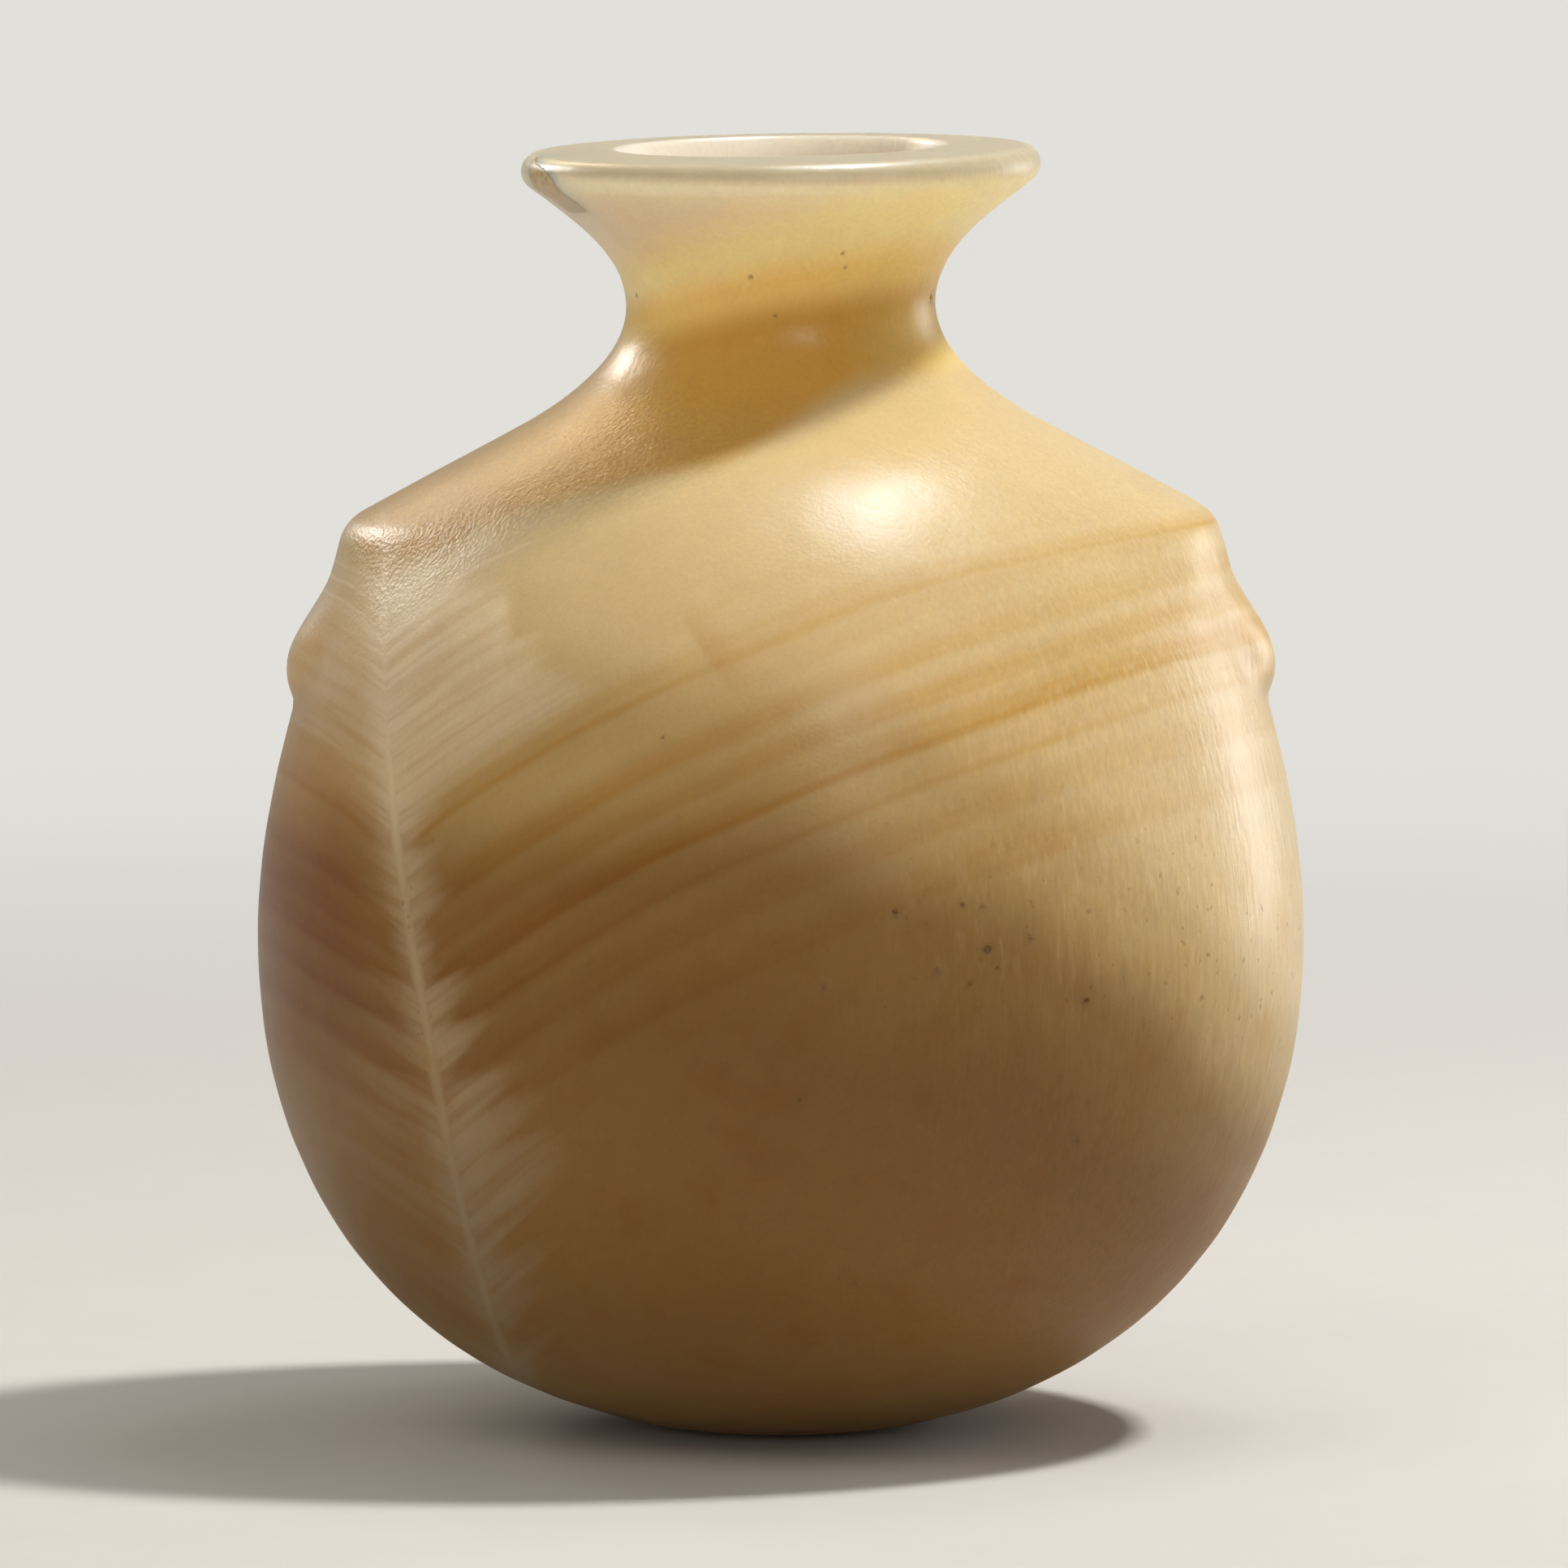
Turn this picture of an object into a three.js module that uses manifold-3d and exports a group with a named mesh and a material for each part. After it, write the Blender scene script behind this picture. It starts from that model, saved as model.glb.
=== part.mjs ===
// A stone vase, turned and hollowed from one block, with two low lugs under its shoulder,
// and a flake of its lip that broke off and was set back. Sizes are in millimetres.
// The vase stands on z = 0 with its axis on Z, its front towards -Y and its lugs at -X and +X.

import * as THREE from 'three';
import { mergeVertices } from 'three/addons/utils/BufferGeometryUtils.js';
import Module from 'manifold-3d';

// Foot and belly: a worn flat, then a full curve out to the widest level.
const foot_radius = 10;
const belly_radius = 65.1;
const belly_height = 62.5;
const belly_power_share = 2.24;

// Side and shoulder: the side draws in from the belly to the line of the shoulder,
// and the two are rounded into each other.
const shoulder_radius = 54.2;
const shoulder_rise = 51.1;
const side_lift = 12;
const shoulder_round = 23;

// Neck: the shoulder sweeps up into a waist.
const neck_radius = 19.3;
const neck_rise = 18.8;
const neck_sweep = 15.5;
const waist_rise = 7.8;

// Mouth: a wide lip on a flare, with a top that falls outwards.
const mouth_rise = 19.6;
const rim_radius = 32.2;
const mouth_radius = 20.3;
const rim_fall = 0.35;
const lip_round = 2.3;
const flare_start = 5.6;
const flare_length = 9;
const mouth_edge_round = 0.8;

// The lip on the left lies lower than the one on the right by this much.
const rim_lean = 1.1;

// Hollow: its wall, its thicker floor, and the bore through the neck.
const wall = 6.3;
const floor_thickness = 9;
const neck_wall = 6.1;
const bore_round = 6;

// Lugs: the shoulder runs out to a harder corner, and a low knob swells under it.
const lug_half_width = 8;
const lug_flank = 15;
const lug_corner_round = 2.4;
const knob_relief = 2.6;
const knob_drop = 16.6;
const knob_upper_run = 10.4;
const knob_lower_run = 6;
const knob_end_round = 2.5;

// Flake of the lip: where it sits, how deep it goes, and the joint left round it.
const flake_direction_deg = 202;
const flake_depth = 4.5;
const flake_joint = 0.3;
const flake_width = 11;
const flake_drop = 10;
const flake_top = 0.6;
const cut_overrun = 4;

// The flake seen from outside. Each point is a share of its width, from the front,
// and a share of its drop, from its top.
const flake_front_shares = [[0, 0], [0.1, 0.16], [0.18, 0.24], [0.22, 0.41], [0.34, 0.56], [0.39, 0.78], [0.5, 1]];
const flake_back_shares = [[1, 1], [0.96, 0.72], [0.94, 0.5], [0.93, 0.36], [0.86, 0.24], [0.74, 0.15], [0.6, 0.1]];
const flake_top_shares = [[0.42, 0.07], [0.22, 0.04]];

// How finely the curves are cut into rings and directions.
const belly_steps = 12;
const side_steps = 9;
const shoulder_steps = 18;
const neck_steps = 7;
const flare_steps = 6;
const lip_steps = 6;
const hollow_steps_share = 0.45;
const lug_directions = 14;
const plain_directions = 17;
const lug_sector_deg = 44;

// Levels and radii that follow from the sizes above.
const shoulder_height = belly_height + shoulder_rise;
const neck_foot_height = shoulder_height + neck_rise;
const waist_height = neck_foot_height + waist_rise;
const rim_height = waist_height + mouth_rise;
const bore_radius = neck_radius - neck_wall;

const stone = new THREE.MeshStandardMaterial({ color: 0xc9a768, roughness: 0.34, metalness: 0 });
const flake_stone = new THREE.MeshStandardMaterial({ color: 0xc4ad7c, roughness: 0.42, metalness: 0 });

const wasm = await Module();
wasm.setup();

function point(radius, height) {
  return new THREE.Vector2(radius, height);
}

function smooth(value) {
  const held = THREE.MathUtils.clamp(value, 0, 1);
  return held * held * (3 - 2 * held);
}

function curvePoints(start, control, end, steps) {
  return new THREE.QuadraticBezierCurve(start, control, end).getPoints(steps);
}

// A corner of the outline, rounded by a curve that starts and ends this far from it.
function roundedCorner(before, corner, after, reach, steps) {
  const start = corner.clone().add(before.clone().sub(corner).setLength(reach));
  const end = corner.clone().add(after.clone().sub(corner).setLength(reach));
  return curvePoints(start, corner, end, steps);
}

function stepCount(steps, share) {
  return Math.max(3, Math.round(steps * share));
}

// Foot to widest level: a superellipse that meets the flat of the foot at its edge.
function bellyOutline(share) {
  const flat_share = foot_radius / belly_radius;
  const depth = belly_height / (1 - flat_share ** belly_power_share) ** (1 / belly_power_share);
  const turn_start = Math.asin(flat_share ** (belly_power_share / 2));
  const steps = stepCount(belly_steps, share);
  const points = [];
  for (let step = 0; step <= steps; step++) {
    const turn = THREE.MathUtils.lerp(turn_start, Math.PI / 2, step / steps);
    const radius = belly_radius * Math.sin(turn) ** (2 / belly_power_share);
    const drop = depth * Math.max(Math.cos(turn), 0) ** (2 / belly_power_share);
    points.push(point(radius, belly_height - drop));
  }
  return points;
}

const side_control = point(belly_radius, belly_height + side_lift);
const shoulder_corner = point(shoulder_radius, shoulder_height);
const neck_control = point(neck_radius, neck_foot_height);

// Widest level to the waist of the neck, with the shoulder rounded by the given reach.
function upperOutline(reach, share) {
  const side_end = shoulder_corner.clone().add(side_control.clone().sub(shoulder_corner).setLength(reach));
  const sweep_start = neck_control.clone().add(shoulder_corner.clone().sub(neck_control).setLength(neck_sweep));
  const side = curvePoints(point(belly_radius, belly_height), side_control, side_end, stepCount(side_steps, share));
  const shoulder = roundedCorner(side_control, shoulder_corner, neck_control, reach, stepCount(shoulder_steps, share));
  const waist = point(neck_radius, waist_height);
  const neck = curvePoints(sweep_start, neck_control, waist, stepCount(neck_steps, share));
  return [...side.slice(1, -1), ...shoulder, ...neck];
}

// Waist to the inner edge of the rim: the flare runs tangent into the round of the lip.
function mouthOutline() {
  const waist = point(neck_radius, waist_height);
  const flare_root = point(neck_radius, waist_height + flare_start);
  const lip_centre = point(rim_radius - lip_round, rim_height - rim_fall - lip_round);
  const reach = lip_centre.clone().sub(flare_root);
  const slope = reach.angle() - Math.asin(lip_round / reach.length());
  const flare_direction = point(Math.cos(slope), Math.sin(slope));
  const flare_end = flare_root.clone().addScaledVector(flare_direction, flare_length);
  const flare = curvePoints(waist, flare_root, flare_end, flare_steps);
  const lip = new THREE.EllipseCurve(lip_centre.x, lip_centre.y, lip_round, lip_round, slope - Math.PI / 2, Math.PI / 2);
  const edge = roundedCorner(
    point(rim_radius - lip_round, rim_height - rim_fall),
    point(mouth_radius, rim_height),
    point(bore_radius, waist_height),
    mouth_edge_round,
    2,
  );
  return [...flare.slice(1), ...lip.getPoints(lip_steps), ...edge];
}

// The funnel of the mouth, from the inner edge of the rim down into the bore.
function funnelOutline() {
  const throat = point(bore_radius, waist_height);
  return roundedCorner(point(mouth_radius, rim_height), throat, point(bore_radius, neck_foot_height), bore_round, 4);
}

// The hollow keeps its wall to the outside, and thickens towards the floor.
function hollowOutline() {
  const outside = [...bellyOutline(hollow_steps_share), ...upperOutline(shoulder_round, hollow_steps_share)];
  const points = [];
  outside.forEach((here, index) => {
    const before = outside[Math.max(index - 1, 0)];
    const after = outside[Math.min(index + 1, outside.length - 1)];
    const along = after.clone().sub(before).normalize();
    const depth_share = THREE.MathUtils.clamp(1 - here.y / belly_height, 0, 1) ** 2;
    const thickness = THREE.MathUtils.lerp(wall, floor_thickness, depth_share);
    const inside = point(here.x - along.y * thickness, here.y + along.x * thickness);
    const below_neck = inside.x > bore_radius || inside.y < belly_height;
    if (below_neck && inside.y < waist_height - bore_round) points.push(inside);
  });
  return points.reverse();
}

// Radius of an outline at a height, between the two points that lie on either side of it.
function radiusAt(outline, height) {
  for (let index = 1; index < outline.length; index++) {
    const low = outline[index - 1];
    const high = outline[index];
    if (height >= low.y && height <= high.y) {
      return THREE.MathUtils.mapLinear(height, low.y, high.y, low.x, high.x);
    }
  }
  return 0;
}

const corner_outline = upperOutline(lug_corner_round, 3);

// How far a lug stands out of the turned form, at a height and a distance from its middle.
function lugRelief(radius, height, offset) {
  const across = Math.abs(offset);
  const side_share = 1 - smooth((across - lug_half_width) / lug_flank);
  const corner = Math.max(radiusAt(corner_outline, height) - radius, 0);
  const knob_height = shoulder_height - knob_drop + knob_end_round * (across / lug_half_width) ** 2;
  const above = height - knob_height;
  const knob_share = above > 0
    ? 1 - smooth(above / knob_upper_run)
    : Math.cos(Math.min(-above / knob_lower_run, 1) * Math.PI / 2);
  return side_share * (corner + knob_relief * knob_share);
}

// Directions round the axis, closer together across each lug.
function ringDirections() {
  const lug_sector = THREE.MathUtils.degToRad(lug_sector_deg);
  const plain_sector = Math.PI - lug_sector;
  const directions = [];
  for (const middle of [0, Math.PI]) {
    for (let step = 0; step < lug_directions; step++) {
      directions.push(middle + lug_sector * (step / lug_directions - 1 / 2));
    }
    for (let step = 0; step < plain_directions; step++) {
      directions.push(middle + lug_sector / 2 + plain_sector * step / plain_directions);
    }
  }
  return directions;
}

// Height of a place once the hand-made lean of the upper part is added.
function leaned(x, height) {
  const lean_share = Math.max((height - belly_height) / (rim_height - belly_height), 0);
  return height + x * lean_share * rim_lean / (2 * rim_radius);
}

// A closed body from an outline that starts and ends on the axis. Outside rings carry the lugs.
function turnedBody(outline, outside_count) {
  const directions = ringDirections();
  const positions = [0, 0, 0];
  outline.forEach((ring, index) => {
    for (const direction of directions) {
      const offset = ring.x * Math.sin(direction);
      const relief = index < outside_count ? lugRelief(ring.x, ring.y, offset) : 0;
      const radius = ring.x + relief;
      const x = radius * Math.cos(direction);
      positions.push(x, radius * Math.sin(direction), leaned(x, ring.y));
    }
  });
  positions.push(0, 0, outline[outline.length - 1].y);

  const around = directions.length;
  const top = 1 + outline.length * around;
  const faces = [];
  for (let step = 0; step < around; step++) {
    const next = (step + 1) % around;
    faces.push(0, 1 + next, 1 + step);
    for (let ring = 0; ring < outline.length - 1; ring++) {
      const low = 1 + ring * around;
      const high = low + around;
      faces.push(low + step, low + next, high + next);
      faces.push(low + step, high + next, high + step);
    }
    faces.push(top, top - around + step, top - around + next);
  }
  const geometry = new THREE.BufferGeometry();
  geometry.setAttribute('position', new THREE.Float32BufferAttribute(positions, 3));
  geometry.setIndex(faces);
  return geometry;
}

function vaseGeometry() {
  const outside = [...bellyOutline(1), ...upperOutline(shoulder_round, 1), ...mouthOutline()];
  return turnedBody([...outside, ...funnelOutline(), ...hollowOutline()], outside.length);
}

// An outline with each of its sides moved outwards by the given distance.
function grown(outline, distance) {
  return outline.map((corner, index) => {
    const before = outline[(index + outline.length - 1) % outline.length];
    const after = outline[(index + 1) % outline.length];
    const into = corner.clone().sub(before).normalize();
    const out = after.clone().sub(corner).normalize();
    const into_normal = point(into.y, -into.x);
    const out_normal = point(out.y, -out.x);
    const middle = into_normal.add(out_normal).normalize();
    return corner.clone().addScaledVector(middle, distance / middle.dot(out_normal));
  });
}

// The block of space that the flake takes out of the lip, grown on every side by a distance.
function flakeBlock(distance) {
  const shares = [...flake_front_shares, ...flake_back_shares, ...flake_top_shares];
  const outline = shares.map(([across, down]) => point(
    flake_width * (across - 1 / 2),
    rim_height - flake_top - flake_drop * down,
  ));
  const depth = flake_depth + distance;
  const shape = new THREE.Shape(grown(outline, distance));
  const block = new THREE.ExtrudeGeometry(shape, { depth: depth + cut_overrun, bevelEnabled: false });
  const direction = THREE.MathUtils.degToRad(flake_direction_deg);
  block.rotateX(Math.PI / 2);
  block.translate(0, rim_radius + cut_overrun, 0);
  block.rotateZ(direction - Math.PI / 2);
  const places = block.getAttribute('position');
  for (let index = 0; index < places.count; index++) {
    places.setZ(index, leaned(places.getX(index), places.getZ(index)));
  }
  return block;
}

function solidOf(geometry) {
  const bare = geometry.clone();
  bare.deleteAttribute('normal');
  bare.deleteAttribute('uv');
  const merged = mergeVertices(bare);
  return new wasm.Manifold(new wasm.Mesh({
    numProp: 3,
    vertProperties: new Float32Array(merged.getAttribute('position').array),
    triVerts: new Uint32Array(merged.getIndex().array),
  }));
}

function geometryOf(solid) {
  const mesh = solid.getMesh();
  const geometry = new THREE.BufferGeometry();
  geometry.setAttribute('position', new THREE.Float32BufferAttribute(mesh.vertProperties, 3));
  geometry.setIndex(Array.from(mesh.triVerts));
  geometry.computeVertexNormals();
  return geometry;
}

function namedMesh(name, geometry, material) {
  const mesh = new THREE.Mesh(geometry, material);
  mesh.name = name;
  return mesh;
}

const whole = solidOf(vaseGeometry());
const vase_body = whole.subtract(solidOf(flakeBlock(flake_joint)));
const rim_flake = whole.intersect(solidOf(flakeBlock(0)));

const vase = new THREE.Group();
vase.name = 'stone_vase';
vase.add(namedMesh('vase_body', geometryOf(vase_body), stone));
vase.add(namedMesh('rim_flake', geometryOf(rim_flake), flake_stone));

export default vase;
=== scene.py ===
"""A turned stone vase with two low lugs and a mended lip, dressed for a plain studio picture.

Lengths are in metres in the properties and the meshes, and in millimetres in the pattern of the stone.
"""

import math

import bmesh
import bpy
import numpy as np
from mathutils import Matrix, Vector, noise
from mathutils.bvhtree import BVHTree


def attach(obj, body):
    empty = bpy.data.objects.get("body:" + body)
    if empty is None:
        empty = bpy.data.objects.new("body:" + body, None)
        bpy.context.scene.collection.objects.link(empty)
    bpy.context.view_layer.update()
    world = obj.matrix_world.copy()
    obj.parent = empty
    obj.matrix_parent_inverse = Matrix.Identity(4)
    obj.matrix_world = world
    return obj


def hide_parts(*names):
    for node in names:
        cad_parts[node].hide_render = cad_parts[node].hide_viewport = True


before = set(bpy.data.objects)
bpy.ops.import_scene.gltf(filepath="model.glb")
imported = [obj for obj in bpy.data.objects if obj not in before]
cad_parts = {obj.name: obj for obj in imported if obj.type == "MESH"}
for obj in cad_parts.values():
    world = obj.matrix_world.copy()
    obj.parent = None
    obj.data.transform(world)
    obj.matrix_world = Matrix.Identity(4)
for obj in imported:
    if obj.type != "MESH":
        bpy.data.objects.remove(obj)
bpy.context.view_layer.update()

bl_info = {
    "name": "Stone vase",
    "version": (1, 0, 0),
    "blender": (4, 5, 0),
    "location": "3D View > Sidebar > Stone vase",
    "description": "Builds a banded stone vase with a mended lip, and a plain stage for it",
    "category": "Object",
}

MM = 0.001


def length(name, description, millimetres):
    """A length that the user can change."""
    return bpy.props.FloatProperty(
        name=name, description=description, default=millimetres * MM, min=0, unit="LENGTH", precision=5
    )


def share(name, description, default, most=10.0):
    """A plain number that the user can change."""
    return bpy.props.FloatProperty(name=name, description=description, default=default, min=0, max=most)


def colour(name, description, red, green, blue):
    """A colour that the user can change, written as it looks on screen, from 0 to 255."""
    screen = (red / 255, green / 255, blue / 255)
    linear = tuple(((value + 0.055) / 1.055) ** 2.4 for value in screen)
    return bpy.props.FloatVectorProperty(
        name=name, description=description, default=linear, min=0, max=1, subtype="COLOR", size=3
    )


class VaseSizes(bpy.types.PropertyGroup):
    """The sizes of the turned stone."""

    foot_radius: length("Foot radius", "The worn flat that the vase stands on", 10)
    belly_radius: length("Belly radius", "Half of the greatest width of the turned form", 65.1)
    belly_height: length("Belly height", "Height of the greatest width", 62.5)
    belly_power: share("Belly power", "How full the curve under the belly is, 2 for a round one", 2.24)
    shoulder_radius: length("Shoulder radius", "Radius where the side and the shoulder meet", 54.2)
    shoulder_rise: length("Shoulder rise", "From the greatest width up to the shoulder", 51.1)
    side_lift: length("Side lift", "How far the side stays upright above the belly", 12)
    shoulder_round: length("Shoulder round", "How far the turned shoulder is rounded", 23)
    neck_radius: length("Neck radius", "Radius of the waist of the neck", 19.3)
    neck_rise: length("Neck rise", "From the shoulder up to the foot of the neck", 18.8)
    neck_sweep: length("Neck sweep", "Where the shoulder starts to sweep up into the neck", 15.5)
    waist_rise: length("Waist rise", "From the foot of the neck up to its waist", 7.8)
    mouth_rise: length("Mouth rise", "From the waist up to the rim", 19.6)
    rim_radius: length("Rim radius", "Radius of the lip", 32.2)
    mouth_radius: length("Mouth radius", "Radius of the opening in the lip", 20.3)
    rim_fall: length("Rim fall", "How far the top of the lip falls outwards", 0.35)
    lip_round: length("Lip round", "Radius of the edge of the lip", 2.3)
    flare_start: length("Flare start", "Where the lip starts to flare, above the waist", 5.6)
    flare_length: length("Flare length", "How long the bend of the flare is", 9)
    mouth_edge_round: length("Mouth edge round", "Round of the inner edge of the rim", 0.8)
    rim_lean: length("Rim lean", "How much lower the lip lies on the left", 1.1)
    wall: length("Wall", "Thickness of the side", 6.3)
    floor_thickness: length("Floor", "Thickness of the floor", 9)
    neck_wall: length("Neck wall", "Thickness of the neck at its waist", 6.1)
    bore_round: length("Bore round", "How far the funnel is rounded into the bore", 6)
    lug_half_width: length("Lug half width", "Half of the width of a lug", 5)
    lug_flank: length("Lug flank", "How far each side of a lug slopes", 28)
    lug_corner_round: length("Lug corner", "Round of the upper corner of a lug", 2.4)
    knob_relief: length("Knob relief", "How far the knob stands out", 2.6)
    knob_drop: length("Knob drop", "From the shoulder down to the knob", 16.6)
    knob_upper_run: length("Knob upper run", "How far the knob fades upwards", 10.4)
    knob_lower_run: length("Knob lower run", "How far the knob fades downwards", 6)
    knob_end_round: length("Knob end round", "How much the ends of the knob rise", 0.25)
    knob_flank: length("Knob flank", "How far each end of the knob fades", 11)
    tool_marks: length("Tool marks", "Depth of the unevenness that hand grinding left", 0.26)


class FlakeSizes(bpy.types.PropertyGroup):
    """The sizes of the mended flake in the lip."""

    direction: bpy.props.FloatProperty(
        name="Direction",
        description="Where the flake sits, turned round the axis from the right lug",
        default=math.radians(202),
        subtype="ANGLE",
    )
    width: length("Width", "Width of the flake along the lip", 11)
    drop: length("Drop", "Height of the flake", 10)
    depth: length("Depth", "How far the flake goes into the lip", 4.5)
    top: length("Top", "From the rim down to the flake", 0.6)
    joint: length("Joint", "Width of the joint round the flake", 0.09)
    raggedness: length("Raggedness", "How far the broken edge wanders", 0.22)


class StoneColours(bpy.types.PropertyGroup):
    """The colours in the stone."""

    # Cream to umber are partly the stone's own tone and partly painted shade, from the lit upper right to the
    # shaded lower left
    cream: colour("Cream", "The palest stone, high on the right", 213, 188, 138)
    straw: colour("Straw", "The pale stone under the shoulder", 221, 194, 143)
    honey: colour("Honey", "Between the pale and the darker stone", 196, 166, 112)
    brown: colour("Brown", "The darker stone of the lower half", 149, 114, 63)
    umber: colour("Umber", "The darkest stone, low in the belly", 131, 94, 47)
    # Glow, amber and gold are partly the stone's amber and partly painted shadow that the lip casts on the neck
    # and the left shoulder; neck is partly painted light, the light that shines through the lip into that
    # shadow
    glow: colour("Glow", "The warmer stone high on the shoulder", 206, 160, 84)
    amber: colour("Amber", "The clear stone at the foot of the neck", 211, 164, 76)
    gold: colour("Gold", "Where the clear stone fades into the neck", 238, 209, 126)
    neck: colour("Neck", "The stone under the lip", 250, 233, 174)
    rim: colour("Rim", "The greyer stone of the lip", 240, 228, 198)
    rim_top: colour("Rim top", "The worn top of the lip", 178, 166, 137)
    mouth: colour("Mouth", "The whiter stone inside the mouth", 228, 221, 208)
    line: colour("Line", "What the thin lines take out of the stone", 238, 216, 160)
    beside: colour("Beside the vein", "What the stone beside the vein is darkened by", 232, 200, 150)
    vein: colour("Vein", "The white vein and its barbs", 232, 212, 180)
    high_vein: colour("High vein", "The white vein under the shoulder", 245, 225, 188)
    # The middle and low vein are partly darkened by painted shade
    mid_vein: colour("Middle vein", "The vein halfway down", 184, 160, 123)
    low_vein: colour("Low vein", "The vein where it runs through the darker stone", 158, 139, 108)
    # Flake: partly painted shade, where the break stops light passing through the lip
    flake: colour("Flake", "The duller stone of the mended flake", 198, 174, 130)
    # Pit: dirt and painted shade in the pores
    pit: colour("Pit", "Dirt in the pores", 112, 82, 46)


class StageSettings(bpy.types.PropertyGroup):
    """The camera, the floor and the lamps."""

    distance: length("Distance", "From the camera to the aim", 2400)
    elevation: bpy.props.FloatProperty(
        name="Elevation",
        description="How far the camera looks down",
        default=math.radians(5.5),
        subtype="ANGLE",
    )
    aim_height: length("Aim height", "Height that the camera looks at", 80.3)
    aim_side: length("Aim side", "How far to the right of the axis the camera looks", 0.4)
    lens: share("Lens", "Focal length in millimetres on a sensor 36 mm wide", 443.2, 1000)
    floor: colour("Floor", "The floor near the vase", 214, 211, 205)
    ground: colour("Ground", "The even ground further off", 226, 224, 219)
    lamp_level: share("Lamp level", "Strength of all lamps together", 1.0)
    room_level: share("Room level", "Strength of the light from all round", 0.26)


# Making the turned form

OUTSIDE_STEPS = {"belly": 88, "side": 28, "shoulder": 54, "neck": 34, "flare": 24, "lip": 18, "edge": 5}
HOLLOW_STEPS = {"belly": 22, "side": 8, "shoulder": 14, "neck": 10, "funnel": 8}
CORNER_STEPS = {"side": 120, "shoulder": 24, "neck": 40}
DIRECTIONS = 288
FRONT_DENSITY = 0.33
# Where things lie in the map, from 0 to 1: its side margin, then the outside and, over it, the hollow
MAP_MARGIN = 0.004
MAP_FOOT_CENTRE, MAP_OUTSIDE_START, MAP_OUTSIDE_HEIGHT = 0.005, 0.01, 0.6
MAP_SEAM, MAP_HOLLOW_START, MAP_HOLLOW_HEIGHT, MAP_FLOOR_CENTRE = 0.625, 0.63, 0.36, 0.995


def bend(start, control, end, steps):
    """Points on a curve that leaves start towards control and comes in to end from it."""
    start, control, end = (np.array(place) for place in (start, control, end))
    along = np.linspace(0, 1, steps + 1)[:, None]
    return (1 - along) ** 2 * start + 2 * along * (1 - along) * control + along**2 * end


def towards(here, there, reach):
    """The place this far from here on the way to there."""
    here, there = np.array(here), np.array(there)
    return here + (there - here) * reach / np.linalg.norm(there - here)


def rounded_corner(before, corner, after, reach, steps):
    """A corner that is rounded by a curve starting and ending this far from it."""
    return bend(towards(corner, before, reach), corner, towards(corner, after, reach), steps)


def smooth(value):
    """From 0 to 1 with a soft start and end."""
    held = np.clip(value, 0, 1)
    return held * held * (3 - 2 * held)


class Levels:
    """The heights and radii that follow from the sizes."""

    def __init__(self, v):
        self.shoulder = v.belly_height + v.shoulder_rise
        self.neck_foot = self.shoulder + v.neck_rise
        self.waist = self.neck_foot + v.waist_rise
        self.rim = self.waist + v.mouth_rise
        self.bore = v.neck_radius - v.neck_wall


def belly_outline(v, steps):
    """From the edge of the foot up to the greatest width."""
    flat, power = v.foot_radius / v.belly_radius, v.belly_power
    depth = v.belly_height / (1 - flat**power) ** (1 / power)
    turn = np.linspace(math.asin(flat ** (power / 2)), math.pi / 2, steps + 1)
    radius = v.belly_radius * np.sin(turn) ** (2 / power)
    drop = depth * np.maximum(np.cos(turn), 0) ** (2 / power)
    return np.stack([radius, v.belly_height - drop], axis=1)


def upper_outline(v, reach, steps):
    """From the greatest width up to the waist of the neck."""
    at = Levels(v)
    side_control = (v.belly_radius, v.belly_height + v.side_lift)
    corner = (v.shoulder_radius, at.shoulder)
    neck_control = (v.neck_radius, at.neck_foot)
    side_end = towards(corner, side_control, reach)
    side = bend((v.belly_radius, v.belly_height), side_control, side_end, steps["side"])
    shoulder = rounded_corner(side_control, corner, neck_control, reach, steps["shoulder"])
    sweep_start = towards(neck_control, corner, v.neck_sweep)
    neck = bend(sweep_start, neck_control, (v.neck_radius, at.waist), steps["neck"])
    slope_steps = max(steps["neck"] // 4, 2)
    slope = np.linspace(shoulder[-1], neck[0], slope_steps + 1)[1:-1]
    return np.concatenate([side[1:-1], shoulder, slope, neck])


def mouth_outline(v, steps):
    """From the waist over the lip to the inner edge of the rim."""
    at = Levels(v)
    waist = np.array((v.neck_radius, at.waist))
    flare_root = waist + np.array((0, v.flare_start))
    lip_centre = np.array((v.rim_radius - v.lip_round, at.rim - v.rim_fall - v.lip_round))
    reach = lip_centre - flare_root
    slope = math.atan2(reach[1], reach[0]) - math.asin(v.lip_round / np.linalg.norm(reach))
    way = np.array((math.cos(slope), math.sin(slope)))
    flare_end = flare_root + way * v.flare_length
    flare = bend(waist, flare_root, flare_end, steps["flare"])
    turn = np.linspace(slope - math.pi / 2, math.pi / 2, steps["lip"] + 1)
    lip = lip_centre + v.lip_round * np.stack([np.cos(turn), np.sin(turn)], axis=1)
    under = np.linspace(flare[-1], lip[0], steps["flare"] // 4 + 1)[1:-1]
    top = (v.rim_radius - v.lip_round, at.rim - v.rim_fall)
    inner = (v.mouth_radius, at.rim)
    edge = rounded_corner(top, inner, (at.bore, at.waist), v.mouth_edge_round, steps["edge"])
    across = np.linspace(lip[-1], edge[0], steps["lip"] // 3 + 1)[1:-1]
    return np.concatenate([flare[1:], under, lip, across, edge])


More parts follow.
